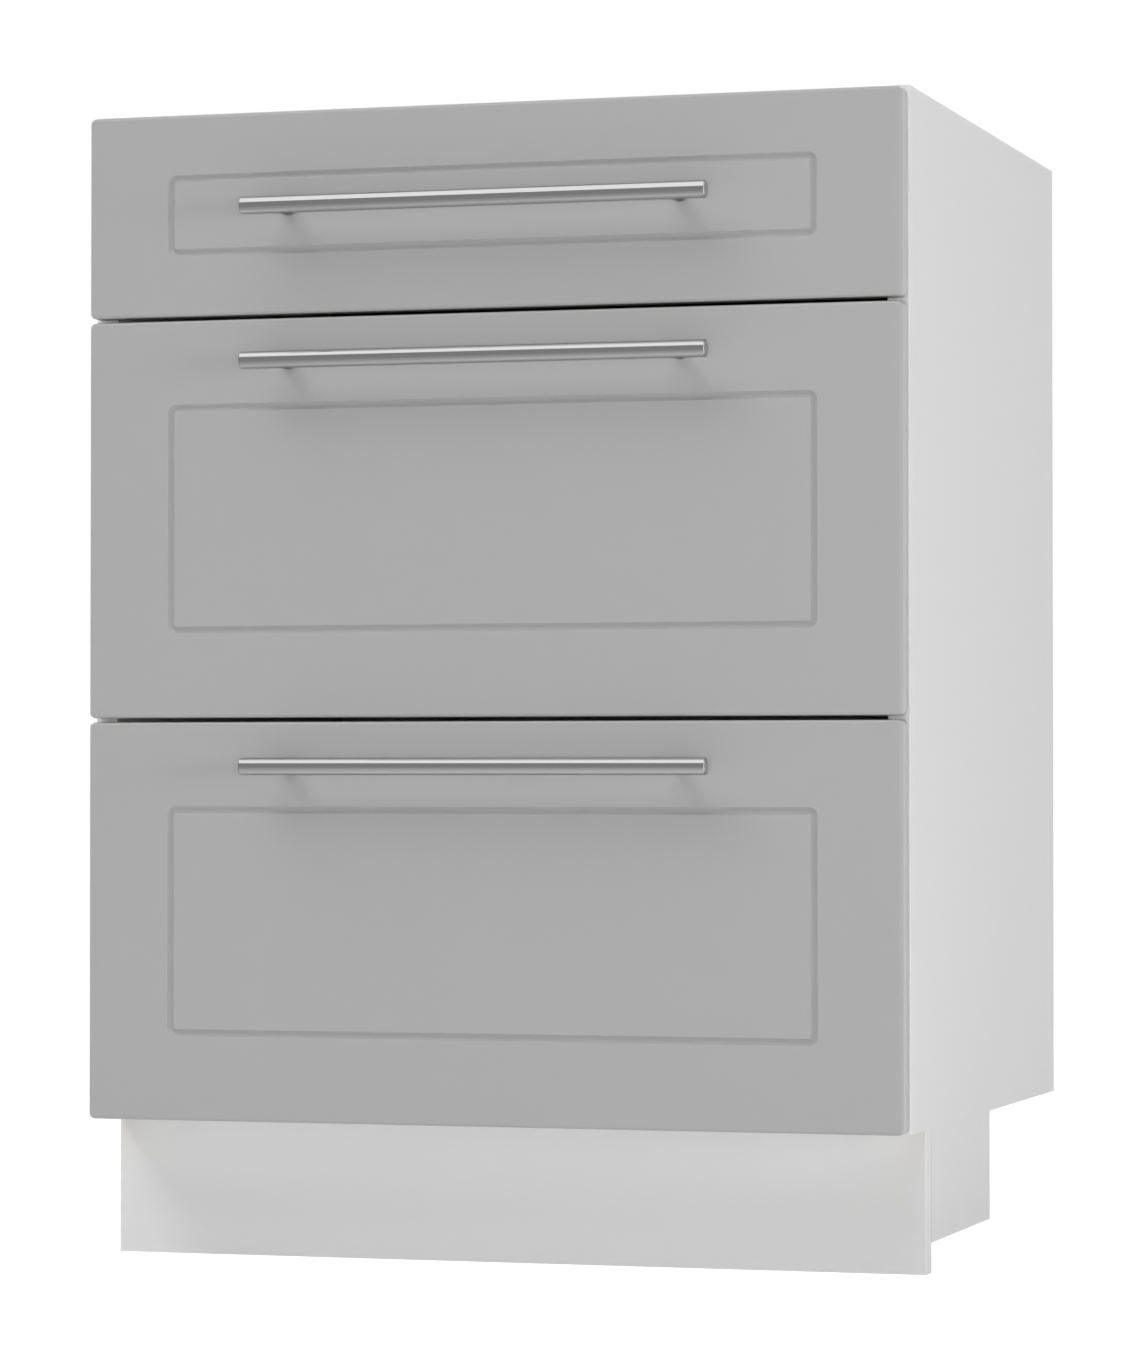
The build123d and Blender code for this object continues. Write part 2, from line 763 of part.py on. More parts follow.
def drawer_plan(name, z_low, height, border, box_drop, handle_drop, handle_grip):
    """The heights of one drawer, from its front."""
    z_high = z_low + height
    z_box = (z_low + box_rise, z_high - box_drop)
    return {
        "name": name,
        "z_front": (z_low, z_high),
        "frame_width": border,
        "z_box": z_box,
        "z_handle": z_high - handle_drop,
        "z_runner": z_box[0] + runner_rise,
        "handle_grip": handle_grip,
    }


# The short drawer's handle is level with its box, so its screws pass through both.
drawers = [
    drawer_plan("top", z_top_front, short_front_height, short_frame_width, short_box_drop,
                short_handle_drop, front_thickness + box_board),
    drawer_plan("middle", z_middle_front, tall_front_height, frame_width, tall_box_drop,
                tall_handle_drop, front_thickness),
    drawer_plan("bottom", z_fronts_bottom, tall_front_height, frame_width, tall_box_drop,
                tall_handle_drop, front_thickness),
]


# ---------------------------------------------------------------- nodes
def carcass_nodes():
    """Boards of the carcass and the fittings that join them."""
    side = side_panel(drawers)
    cams, _ = panel_fitting_rows()
    discs = [cam_disc(centre, y, z) for centre, (y, z) in zip(cam_centres(), cams)]
    dots = [bumper(drawer["z_front"][1] - bumper_inset) for drawer in drawers]
    runner_screws = [
        place * wood_screw(runner_screw_length)
        for drawer in drawers
        for place in cabinet_member_screws(drawer["z_runner"])
    ]
    return {
        "side_panel_right": [side],
        "side_panel_left": [mirrored(side)],
        "bottom_panel": [bottom_panel()],
        "top_rail_front": [top_rail(y_edge)],
        "top_rail_rear": [top_rail(y_back_panel - rail_width)],
        "back_panel": [back_panel()],
        "cam_bolts": both_sides([cam_bolt(y, z) for y, z in cams]),
        "cam_discs": both_sides(discs),
        "dowels": both_sides([dowel(start, direction) for start, direction in dowel_starts()]),
        "bumpers": both_sides(dots),
        "runner_screws": both_sides(runner_screws),
    }


def base_nodes():
    """Plinth, legs and feet."""
    legs = leg_places()
    side_return = plinth_return()
    screws = [place * wood_screw(leg_screw_length) for place in leg_screw_places()]
    screws += [place * wood_screw(clip_screw_length) for place in clip_screw_places()]
    nodes = {
        "plinth_panel": [plinth_panel()],
        "plinth_return_right": [side_return],
        "plinth_return_left": [mirrored(side_return)],
        "leg_sockets": [leg_socket(x, y) for x, y in legs.values()],
        "plinth_clips": [plinth_clip(*legs[name]) for name in ("front_left", "front_right")],
        "base_screws": screws,
    }
    for name, (x, y) in legs.items():
        nodes["foot_" + name] = [foot(x, y)]
    return nodes


def drawer_nodes(drawer):
    """One drawer: front, handle, box, its runners and their balls."""
    name = drawer["name"]
    z_runner = drawer["z_runner"]
    side = box_side(drawer)
    screws = [place * wood_screw(front_screw_length) for place in front_screw_places(drawer)]
    side_screws = [place * wood_screw(corner_screw_length) for place in corner_screw_places(drawer)]
    side_screws += [place * wood_screw(runner_screw_length) for place in drawer_member_screws(z_runner)]
    return {
        name + "_front": [drawer_front(drawer)],
        name + "_handle_bar": [handle_bar(drawer)],
        name + "_handle_posts": [handle_post(x, drawer["z_handle"]) for x in x_posts()],
        name + "_handle_screws": [
            handle_screw(place, drawer["handle_grip"]) for place in handle_screw_places(drawer)
        ],
        name + "_box_side_right": [side],
        name + "_box_side_left": [mirrored(side)],
        name + "_box_front": [box_end(drawer, y_front_back)],
        name + "_box_back": [box_end(drawer, y_box_back_inside)],
        name + "_box_base": [box_base(drawer)],
        name + "_wood_screws": screws + both_sides(side_screws),
        name + "_runner_cabinet_members": both_sides([cabinet_member(z_runner)]),
        name + "_runner_drawer_members": both_sides([drawer_member(z_runner)]),
        name + "_ball_cages": both_sides(cage_with_balls(z_runner)),
    }


os.makedirs("parts", exist_ok=True)
nodes = {**carcass_nodes(), **base_nodes()}
for drawer in drawers:
    nodes.update(drawer_nodes(drawer))
for node, shapes in nodes.items():
    solids = [solid for shape in shapes for solid in shape.solids()]
    export_step(Compound(solids), f"parts/{node}.step")
print(len(nodes), "nodes,", "overall", carcass_width, "x", overall_depth, "x", z_top)
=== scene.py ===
# %% [markdown]
# # A kitchen drawer unit and its finishes
#
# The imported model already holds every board, runner, screw and handle at its real size. What it
# lacks is how each piece looks: pressed foil, white laminate over chipboard, steel, zinc and
# moulded plastic. This notebook gives each piece its finish, cuts the threads of the four feet,
# and sets up a small studio round the cabinet.
#
# Lengths are in metres, and the cabinet stands on the floor at z = 0 with its fronts facing -Y.

import math

import bpy
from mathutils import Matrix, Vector


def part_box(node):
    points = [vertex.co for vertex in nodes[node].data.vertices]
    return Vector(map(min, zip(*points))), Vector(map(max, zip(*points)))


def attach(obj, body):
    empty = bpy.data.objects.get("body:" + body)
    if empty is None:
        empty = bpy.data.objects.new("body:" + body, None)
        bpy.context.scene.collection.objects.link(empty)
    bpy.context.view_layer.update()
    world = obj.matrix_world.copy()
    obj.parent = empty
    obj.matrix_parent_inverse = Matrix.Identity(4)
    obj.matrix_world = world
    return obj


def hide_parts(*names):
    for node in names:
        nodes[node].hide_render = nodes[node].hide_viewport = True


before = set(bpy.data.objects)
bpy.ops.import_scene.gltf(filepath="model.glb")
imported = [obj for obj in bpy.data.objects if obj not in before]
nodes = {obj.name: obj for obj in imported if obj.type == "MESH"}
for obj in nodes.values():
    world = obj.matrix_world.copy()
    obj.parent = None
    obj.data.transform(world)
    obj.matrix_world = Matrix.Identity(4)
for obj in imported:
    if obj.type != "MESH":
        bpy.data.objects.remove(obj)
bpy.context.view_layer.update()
DRAWERS = ("top", "middle", "bottom")
MM = 0.001
FACE_REACH = 0.05 * MM

# %% [markdown]
# ## The camera
#
# A product picture of a cabinet is taken from far away with a long lens, so that its upright
# edges stay nearly parallel. The camera could be aimed at the middle of the cabinet with a
# constraint, but the picture to match was taken from the height of the lowest handle and looks
# up by about a degree. So the place, the heading and the tilt are given as they were measured.

# %% Place the camera
PICTURE_HEIGHT = 1361
FOCAL_LENGTH_IN_PIXELS = 4893.6
SENSOR = 36.0
CAMERA_PLACE = Vector((1.0490, -3.4997, 0.3429))
CAMERA_HEADING = math.radians(16.847)
CAMERA_TILT = math.radians(1.163)
FARTHEST_SEEN = 100.0

lens = bpy.data.cameras.new("camera")
lens.sensor_width = SENSOR
lens.lens = FOCAL_LENGTH_IN_PIXELS / PICTURE_HEIGHT * SENSOR
lens.clip_end = FARTHEST_SEEN
camera = bpy.data.objects.new("camera", lens)
bpy.context.collection.objects.link(camera)
camera.location = CAMERA_PLACE
camera.rotation_euler = (math.radians(90) + CAMERA_TILT, 0, CAMERA_HEADING)
bpy.context.scene.camera = camera
print(f"lens {lens.lens:.1f} mm, {(CAMERA_PLACE - Vector((0, 0, CAMERA_PLACE.z))).length:.2f} m away")

# %% [markdown]
# ## Writing a finish as sums
#
# A finish is a tree of shader nodes. Such a tree can be wired by hand, one link at a time, but
# then nobody can read what it works out. Here an output socket is wrapped in a small class whose
# operators add the Math nodes, so that `1 - mask` or `grain * 0.3 + 0.5` builds the same tree and
# reads like the sum that it is. Every other node comes from one method, `Finish.node`.

# %% A socket that can be added and multiplied
class Signal:
    """The output of a node, on which sums can be written."""

    def __init__(self, finish, socket):
        self.finish = finish
        self.socket = socket

    def _math(self, operation, first, second=0.0):
        return self.finish.node("ShaderNodeMath", {"operation": operation}, {0: first, 1: second})

    def __add__(self, other):
        return self._math("ADD", self, other)

    def __sub__(self, other):
        return self._math("SUBTRACT", self, other)

    def __rsub__(self, other):
        return self._math("SUBTRACT", other, self)

    def __mul__(self, other):
        return self._math("MULTIPLY", self, other)

    def __lt__(self, other):
        return self._math("LESS_THAN", self, other)

    def __or__(self, other):
        return self._math("MAXIMUM", self, other)

    def __abs__(self):
        return self._math("ABSOLUTE", self)

    __radd__ = __add__
    __rmul__ = __mul__


# %% A finish under construction
class Finish:
    """The node tree of a material, or of another owner such as the world."""

    def __init__(self, name, owner=None):
        self.owner = owner or bpy.data.materials.new(name)
        self.owner.use_nodes = True
        self.tree = self.owner.node_tree
        self.shader = self.tree.nodes.get("Principled BSDF")

    def node(self, kind, settings=None, inputs=None, output=0):
        """Adds a node, sets its settings, then fills its sockets with values or links."""
        made = self.tree.nodes.new(kind)
        for name, value in (settings or {}).items():
            if name == "stops":
                self._set_stops(made.color_ramp, value)
            else:
                setattr(made, name, value)
        for name, value in (inputs or {}).items():
            self.feed(made.inputs[name], value)
        return Signal(self, made.outputs[output])

    def _set_stops(self, ramp, stops):
        for _ in range(len(stops) - len(ramp.elements)):
            ramp.elements.new(0.5)
        for element, (place, tint) in zip(ramp.elements, stops):
            element.position = place
            element.color = tint

    def feed(self, socket, value):
        """Fills a socket with a link or a plain value."""
        if isinstance(value, Signal):
            self.tree.links.new(value.socket, socket)
        else:
            socket.default_value = value

    def surface(self, **values):
        """Fills the main shader's sockets, named in lower case with underscores."""
        for name, value in values.items():
            self.feed(self.shader.inputs[name.replace("_", " ").title()], value)

    def place(self):
        """Where a point lies on the cabinet, as a vector."""
        return self.node("ShaderNodeTexCoord", output="Object")

    def axis(self, name):
        """Where a point lies along X, Y or Z."""
        return self.node("ShaderNodeSeparateXYZ", inputs={0: self.place()}, output=name)

    def grains(self, length, stretch):
        """The place of a point counted in grains of this length, stretched along the axes."""
        counts = [1 / (length * longer) for longer in stretch]
        return self.node("ShaderNodeVectorMath", {"operation": "MULTIPLY"}, {0: self.place(), 1: counts})

    def noise(self, grain, stretch=(1, 1, 1), detail=2.0):
        """Smooth random values from 0 to 1, with grains of this length."""
        inputs = {"Vector": self.grains(grain, stretch), "Scale": 1.0, "Detail": detail}
        return self.node("ShaderNodeTexNoise", inputs=inputs)

    def chips(self, size, stretch):
        """Cells of about this size, such as chips of wood, each with a random colour."""
        inputs = {"Vector": self.grains(size, stretch), "Scale": 1.0}
        return self.node("ShaderNodeTexVoronoi", inputs=inputs, output="Color")

    def blend(self, mask, first, second):
        """The first colour where the mask is 0, the second where it is 1."""
        return self.node("ShaderNodeMix", {"data_type": "RGBA"}, {0: mask, 6: first, 7: second}, output=2)

    def relief(self, height, depth):
        """A bumpy normal, from heights of 0 to 1 that stand this far out."""
        return self.node("ShaderNodeBump", inputs={"Height": height, "Distance": depth, "Strength": 1.0})

    def dress(self, *names):
        """Puts the finish on these nodes of the cabinet."""
        for name in names:
            mesh = nodes[name].data
            mesh.materials.clear()
            mesh.materials.append(self.owner)


def colour(red, green=None, blue=None):
    """A colour from its three parts, or a grey from one."""
    return (red, red if green is None else green, red if blue is None else blue, 1.0)


print("a finish has the nodes", [n.name for n in Finish("sample").tree.nodes])

# %% [markdown]
# ## Drawer fronts
#
# Each front is routed fibreboard with a matt grey foil pressed over its face and edges, so the
# foil runs into the groove and round the corners without a seam. Paint would show orange peel
# and a laminate would need edge strips. A pressed foil has neither, only a very fine leathery
# grain and the soft sheen of a thin matt lacquer. The back of the board keeps its white facing.

# %% Grey foil
FOIL_GREY = 0.364
FOIL_GREY_DRIFT = 0.003
FOIL_ROUGHNESS = 0.30
FOIL_ROUGHNESS_DRIFT = 0.04
FOIL_CLOUD = 120 * MM
FOIL_SHEEN_PATCH = 30 * MM
FOIL_GRAIN = 0.35 * MM
FOIL_GRAIN_DEPTH = 0.006 * MM
FOIL_LACQUER = 0.4
BACKING_WHITE = 0.66


def foil_front(name):
    """Foil on all of a front but its back."""
    finish = Finish(name + "_foil")
    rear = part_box(name)[1].y
    backing = abs(finish.axis("Y") - rear) < FACE_REACH
    low, high = colour(FOIL_GREY - FOIL_GREY_DRIFT), colour(FOIL_GREY + FOIL_GREY_DRIFT)
    grey = finish.blend(finish.noise(FOIL_CLOUD), low, high)
    grain = finish.noise(FOIL_GRAIN, detail=3.0)
    finish.surface(
        base_color=finish.blend(backing, grey, colour(BACKING_WHITE)),
        roughness=finish.noise(FOIL_SHEEN_PATCH) * FOIL_ROUGHNESS_DRIFT + FOIL_ROUGHNESS,
        coat_weight=FOIL_LACQUER,
        coat_roughness=FOIL_ROUGHNESS,
        normal=finish.relief(grain, FOIL_GRAIN_DEPTH),
    )
    finish.dress(name)


for drawer in DRAWERS:
    foil_front(drawer + "_front")
print("foil on", len(DRAWERS), "fronts")

# %% [markdown]
# ## White boards
#
# The carcass is chipboard between two sheets of white laminate, with a plastic strip glued on
# the edges that show. One white colour would do from afar, but a drawer pulled out shows the
# strips, and the back of the cabinet shows bare chipboard. So the finish asks how far a point
# lies from the planes of its board: on the two faces it is laminate, within a millimetre of a
# stripped edge it is plastic, and anywhere else, as in a groove or a bore, it is chipboard. The
# two white skins are smooth, and the chipboard is rough and coarsely grained.

# %% Laminate, edge strip and chipboard
LAMINATE_WHITE = 0.70
STRIP_WHITE = 0.72
STRIP_THICKNESS = 0.9 * MM
SKIN_GRAIN = 0.5 * MM
CHIP_PALE = colour(0.50, 0.37, 0.23)
CHIP_DARK = colour(0.22, 0.14, 0.08)
CHIP_SIZE = 1.6 * MM
CHIP_STRETCH = (2, 2, 1)
CHIP_GRAIN = 0.8 * MM
CHIP_CONTRAST = 2.0
CHIP_ROUGHNESS = 0.75
CHIP_RELIEF = 0.05 * MM
SKIN_SMOOTHING = 0.33
SKIN_LEVELLING = 0.04 * MM


def on_planes(finish, planes, reach):
    """1 within reach of any of these planes, each an axis and where it cuts it."""
    masks = [abs(finish.axis(axis) - cut) < reach for axis, cut in planes]
    found = masks[0]
    for mask in masks[1:]:
        found = found | mask
    return found


def chipboard(finish):
    """Flat chips of wood, pale and dark."""
    tone = finish.node("ShaderNodeSeparateXYZ", inputs={0: finish.chips(CHIP_SIZE, CHIP_STRETCH)})
    grain = finish.noise(CHIP_GRAIN, detail=4.0)
    return finish.blend(tone * grain * CHIP_CONTRAST, CHIP_DARK, CHIP_PALE)


def board(name, thickness, strips):
    """White board: which axis it is thin along, and which edges carry a strip."""
    finish = Finish(name + "_board")
    low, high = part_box(name)
    corners = {"low": low, "high": high}
    index = "XYZ".index
    faces = [(thickness, corner[index(thickness)]) for corner in (low, high)]
    stripped = [(axis, corners[end][index(axis)]) for axis, end in strips]
    laminate = on_planes(finish, faces, FACE_REACH)
    strip = on_planes(finish, stripped, STRIP_THICKNESS)
    smooth = laminate | strip
    pearl = finish.noise(SKIN_GRAIN, detail=3.0)
    faced = finish.blend(laminate, chipboard(finish), colour(LAMINATE_WHITE))
    finish.surface(
        base_color=finish.blend(strip, faced, colour(STRIP_WHITE)),
        roughness=CHIP_ROUGHNESS - SKIN_SMOOTHING * smooth,
        normal=finish.relief(pearl, CHIP_RELIEF - SKIN_LEVELLING * smooth),
    )
    finish.dress(name)


BOARDS = {
    "side_panel_right": ("X", [("Y", "low")]),
    "side_panel_left": ("X", [("Y", "low")]),
    "bottom_panel": ("Z", [("Y", "low")]),
    "top_rail_front": ("Z", [("Y", "low")]),
    "top_rail_rear": ("Z", [("Y", "low")]),
    "plinth_panel": ("Y", [("X", "low"), ("X", "high")]),
    "plinth_return_right": ("X", [("Y", "high")]),
    "plinth_return_left": ("X", [("Y", "high")]),
}
for drawer in DRAWERS:
    for side in ("left", "right"):
        BOARDS[f"{drawer}_box_side_{side}"] = ("X", [("Z", "high")])
    for end in ("front", "back"):
        BOARDS[f"{drawer}_box_{end}"] = ("Y", [("Z", "high")])
for name, (thickness, strips) in BOARDS.items():
    board(name, thickness, strips)
print("white boards:", len(BOARDS))

# %% [markdown]
# ## Thin sheets
#
# The back of the cabinet and the bases of the drawers are 3 mm fibreboard, white on the side
# that shows in use and bare brown on the other. The brown side has the felted look of pressed
# fibres, which fine noise stretched a little in two directions gives.

# %% Fibreboard sheets
FIBRE_PALE = colour(0.33, 0.21, 0.12)
FIBRE_DARK = colour(0.20, 0.12, 0.065)
FIBRE_GRAIN = 0.7 * MM
FIBRE_STRETCH = (3, 1, 3)
FIBRE_ROUGHNESS = 0.8
FIBRE_RELIEF = 0.06 * MM
SHEET_WHITE = 0.68
SHEET_SMOOTHING = 0.35
SHEET_LEVELLING = 0.05 * MM


def thin_sheet(name, axis, end):
    """White on one face, bare fibreboard elsewhere."""
    finish = Finish(name + "_sheet")
    white_face = dict(zip(("low", "high"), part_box(name)))[end]["XYZ".index(axis)]
    white = abs(finish.axis(axis) - white_face) < FACE_REACH
    fibres = finish.noise(FIBRE_GRAIN, FIBRE_STRETCH, detail=5.0)
    brown = finish.blend(fibres, FIBRE_DARK, FIBRE_PALE)
    finish.surface(
        base_color=finish.blend(white, brown, colour(SHEET_WHITE)),
        roughness=FIBRE_ROUGHNESS - SHEET_SMOOTHING * white,
        normal=finish.relief(fibres, FIBRE_RELIEF - SHEET_LEVELLING * white),
    )
    finish.dress(name)


thin_sheet("back_panel", "Y", "low")
for drawer in DRAWERS:
    thin_sheet(drawer + "_box_base", "Z", "high")
print("thin sheets:", 1 + len(DRAWERS))

# %% [markdown]
# ## Steel handles
#
# The bars are drawn steel, polished along their length until only hair-fine lines are left. A
# mirror would be too hard, and plain roughness too dull: what the eye reads as polished metal is
# the set of sharp bands along the bar, bright from above and dark from the room. So the shader
# stays smooth, and noise stretched four hundredfold along X gives the lines.
#
# Three more tints come from the lathe and from the angle. The ends of each bar were turned and
# not polished, so the face is pale and dull. The chamfer round it is painted shade: a darker grey
# that dims the bright reflection its ring would catch. The edge tint is painted shade too: it
# darkens the reflection along the thin line where the bar is seen almost edge on.

# %% Polished steel
STEEL = 0.74
STEEL_DRIFT = 0.012
STEEL_FACED = 0.88
# painted shade: a darker grey that dims the chamfer ring's reflection
PAINTED_CHAMFER_SHADE = 0.50
# painted shade: the edge tint darkens the reflection where the bar is seen almost edge on
PAINTED_EDGE_SHADE = 0.40
POLISHED_ROUGHNESS = 0.09
DRAWN_ROUGHNESS = 0.02
TURNED_ROUGHNESS = 0.22
CHAMFER_REACH = 0.65 * MM
DRAWN_LINE = 0.12 * MM
DRAWN_STRETCH = (400, 1, 1)
DRAWN_DEPTH = 0.0003 * MM


def handle_steel():
    """Steel with fine lines along the bar and turned faces at its ends, with painted shade on the chamfers
    and along the edge seen edge on.
    """
    finish = Finish("handle_steel")
    low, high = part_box("top_handle_bar")
    ends = [("X", low.x), ("X", high.x)]
    faced = on_planes(finish, ends, FACE_REACH)
    painted_chamfer_shade_mask = on_planes(finish, ends, CHAMFER_REACH)
    lines = finish.noise(DRAWN_LINE, DRAWN_STRETCH)
    drawn = finish.blend(lines, colour(STEEL - STEEL_DRIFT), colour(STEEL + STEEL_DRIFT))
    # the chamfer ring gets painted shade, which dims the bright reflection it would catch
    turned = finish.blend(painted_chamfer_shade_mask, drawn, colour(PAINTED_CHAMFER_SHADE))
    finish.surface(
        base_color=finish.blend(faced, turned, colour(STEEL_FACED)),
        metallic=1.0,
        # specular tint is painted shade, darkening the reflection along the grazing edge of the bar
        specular_tint=colour(PAINTED_EDGE_SHADE),
        roughness=lines * DRAWN_ROUGHNESS + POLISHED_ROUGHNESS + faced * TURNED_ROUGHNESS,
        normal=finish.relief(lines, DRAWN_DEPTH),
    )
    finish.dress(*[f"{drawer}_handle_{piece}" for drawer in DRAWERS for piece in ("bar", "posts")])


handle_steel()
print("steel handles:", len(DRAWERS))

# %% [markdown]
# ## Zinc on runners and screws
#
# Runners are cold-rolled steel strip with a thin coat of zinc. Rolling leaves faint lines along
# the strip, and the zinc is a cool, slightly cloudy grey. Screws get the same coat with a warm
# tint, and the cast cams are duller. Three calls of one function make the three finishes.

# %% Zinc-coated steel
ZINC_CLOUD = 6 * MM
ZINC_LINE = 0.25 * MM
ZINC_LINE_DEPTH = 0.004 * MM
ZINC_LINE_ROUGHNESS = 0.12
ZINC_DARKENING = 0.82
CLOUD_SHARE = 0.6
NO_STRETCH = (1, 1, 1)
ROLLED = (1, 120, 1)


def zinc(name, tint, dullness, stretch, *pieces):
    """Cloudy zinc with fine lines along the stretched axis."""
    finish = Finish(name)
    cloud = finish.noise(ZINC_CLOUD, detail=3.0)
    lines = finish.noise(ZINC_LINE, stretch)
    darker = [part * ZINC_DARKENING for part in tint]
    mottle = cloud * CLOUD_SHARE + lines * (1 - CLOUD_SHARE)
    finish.surface(
        base_color=finish.blend(mottle, colour(*darker), colour(*tint)),
        metallic=1.0,
        roughness=lines * ZINC_LINE_ROUGHNESS + dullness,
        normal=finish.relief(lines, ZINC_LINE_DEPTH),
    )
    finish.dress(*pieces)


RUNNER_PIECES = ("runner_cabinet_members", "runner_drawer_members", "ball_cages")
zinc("runner_zinc", (0.62, 0.63, 0.65), 0.26, ROLLED,
     *[f"{drawer}_{piece}" for drawer in DRAWERS for piece in RUNNER_PIECES])
zinc("screw_zinc", (0.66, 0.62, 0.54), 0.22, NO_STRETCH,
     "base_screws", "runner_screws", "cam_bolts",
     *[f"{drawer}_{piece}" for drawer in DRAWERS for piece in ("wood_screws", "handle_screws")])
zinc("cast_zinc", (0.56, 0.56, 0.57), 0.40, NO_STRETCH, "cam_discs")
print("zinc finishes:", 3)

# %% [markdown]
# ## Plastic, rubber and wood
#
# The legs and their clips are moulded in black plastic with the fine spark-eroded grain that
# hides flow marks. The soft dots on the front edges are clear rubber, and the dowels are beech
# with its grain running along them.

# %% Black plastic, clear rubber and beech
PLASTIC_BLACK = colour(0.020)
PLASTIC_WORN = colour(0.032)
PLASTIC_ROUGHNESS = 0.42
SPARK_GRAIN = 0.5 * MM
SPARK_DEPTH = 0.03 * MM
SPARK_ROUGHNESS = 0.10
WORN_PATCH = 18 * MM
RUBBER_DULL = colour(0.80)
RUBBER_CLEAR = colour(0.86)
RUBBER_CLOUD = 2 * MM
BEECH_DARK = colour(0.42, 0.27, 0.15)
BEECH_PALE = colour(0.62, 0.44, 0.27)
BEECH_STREAK = 0.4 * MM
BEECH_STRETCH = (30, 1, 1)
BEECH_DEPTH = 0.03 * MM


def leg_plastic():
    """Black moulded plastic with a fine grain."""
    finish = Finish("leg_plastic")
    grain = finish.noise(SPARK_GRAIN)
    worn = finish.noise(WORN_PATCH, detail=3.0)
    finish.surface(
        base_color=finish.blend(worn, PLASTIC_BLACK, PLASTIC_WORN),
        roughness=grain * SPARK_ROUGHNESS + PLASTIC_ROUGHNESS,
        normal=finish.relief(grain, SPARK_DEPTH),
    )
    finish.dress("leg_sockets", "plinth_clips", *[name for name in nodes if name.startswith("foot_")])
    return finish


def clear_rubber():
    """Clear soft rubber that lets the board shine through."""
    finish = Finish("clear_rubber")
    finish.surface(
        base_color=finish.blend(finish.noise(RUBBER_CLOUD), RUBBER_DULL, RUBBER_CLEAR),
        roughness=0.25,
        transmission_weight=0.6,
    )
    finish.dress("bumpers")


def beech():
    """Pale beech with fine streaks along X, the way most dowels lie."""
    finish = Finish("beech")
    streaks = finish.noise(BEECH_STREAK, BEECH_STRETCH, detail=4.0)
    finish.surface(
        base_color=finish.blend(streaks, BEECH_DARK, BEECH_PALE),
        roughness=0.6,
        normal=finish.relief(streaks, BEECH_DEPTH),
    )
    finish.dress("dowels")


plastic = leg_plastic()
clear_rubber()
beech()
print("small finishes:", 3)

# %% [markdown]
# ## The screw feet
#
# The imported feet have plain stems, which is all that their travel needs. A real foot screws into
# its socket by a coarse moulded thread, and its pad has ribs for the fingers. A bump map could
# suggest both, but the pad's outline would stay round. So each foot is built again as a grid of
# points: one way round the foot, the other way up its outline, with the radius worked out at
# each point. Where the thread is cut, the radius follows a flat-topped wave that climbs with the
# turn; the wave's floor and flanks are given as shares of its pitch. Each new foot stays inside
# the old one and moves with the same body.

# %% Threads and ribs
TURN_STEPS = 144
STEM_RADIUS = 14.9 * MM
PAD_THICKNESS = 6 * MM
PAD_ROUNDING = 1.5 * MM
RIB_COUNT = 24
RIB_DEPTH = 0.9 * MM
RIB_STEEPNESS = 2
THREAD_PITCH = 5 * MM
THREAD_DEPTH = 1.1 * MM
THREAD_FLOOR = 0.15
THREAD_FLANK = 0.2
THREAD_STEP = 0.5 * MM
THREAD_FADE = 2 * MM
STEM_CHAMFER = 1 * MM
SHARP_TURN = math.radians(40)


def clamp(value):
    """The value, kept between 0 and 1."""
    return min(max(value, 0.0), 1.0)


def foot_rings(radius, height):
    """Height and radius of each ring from the pad's underside to the top of the stem."""
    quarter = [math.radians(turn) for turn in (0, 30, 60, 90)]
    inner = radius - PAD_ROUNDING
    rings = [(PAD_ROUNDING * (1 - math.cos(a)), inner + PAD_ROUNDING * math.sin(a)) for a in quarter]
    shoulder = PAD_THICKNESS - PAD_ROUNDING
    rings += [(shoulder + PAD_ROUNDING * math.sin(a), inner + PAD_ROUNDING * math.cos(a)) for a in quarter]
    steps = round((height - STEM_CHAMFER - PAD_THICKNESS) / THREAD_STEP)
    rings += [(PAD_THICKNESS + step * THREAD_STEP, STEM_RADIUS) for step in range(steps + 1)]
    return rings + [(height, STEM_RADIUS - STEM_CHAMFER)]


def cut_away(height, radius, turn, top):
    """How deep the ribs or the thread are cut here."""
    if radius > STEM_RADIUS:
        return RIB_DEPTH * clamp(math.cos(turn * RIB_COUNT) * RIB_STEEPNESS + 0.5)
    phase = (height / THREAD_PITCH - turn / math.tau) % 1.0
    groove = 1 - clamp((abs(phase - 0.5) - THREAD_FLOOR) / THREAD_FLANK)
    lead_in = clamp((height - PAD_THICKNESS) / THREAD_FADE - 0.5)
    lead_out = clamp((top - height) / THREAD_FADE - 0.5)
    return THREAD_DEPTH * groove * lead_in * lead_out


def foot_points(low, high, rings):
    """The middle of the pad's underside, the points of each ring, and the middle of the top."""
    middle = (low + high) / 2
    turns = [math.tau * step / TURN_STEPS for step in range(TURN_STEPS)]
    points = [(middle.x, middle.y, low.z)]
    for height, radius in rings:
        for turn in turns:
            reach = radius - cut_away(height, radius, turn, high.z)
            points.append((middle.x + reach * math.cos(turn), middle.y + reach * math.sin(turn), height))
    return points + [(middle.x, middle.y, high.z)]


def foot_faces(ring_count):
    """Four-sided faces between the rings, and a fan of triangles at each end."""
    top = (ring_count - 1) * TURN_STEPS
    last = ring_count * TURN_STEPS + 1
    faces = []
    for step in range(TURN_STEPS):
        here, after = 1 + step, 1 + (step + 1) % TURN_STEPS
        faces.append((0, after, here))
        for up in range(0, top, TURN_STEPS):
            faces.append((here + up, after + up, after + up + TURN_STEPS, here + up + TURN_STEPS))
        faces.append((last, here + top, after + top))
    return faces


def new_piece(name, points, faces):
    """A mesh object of these points and faces."""
    mesh = bpy.data.meshes.new(name)
    mesh.from_pydata(points, [], faces)
    piece = bpy.data.objects.new(name, mesh)
    bpy.context.collection.objects.link(piece)
    return piece


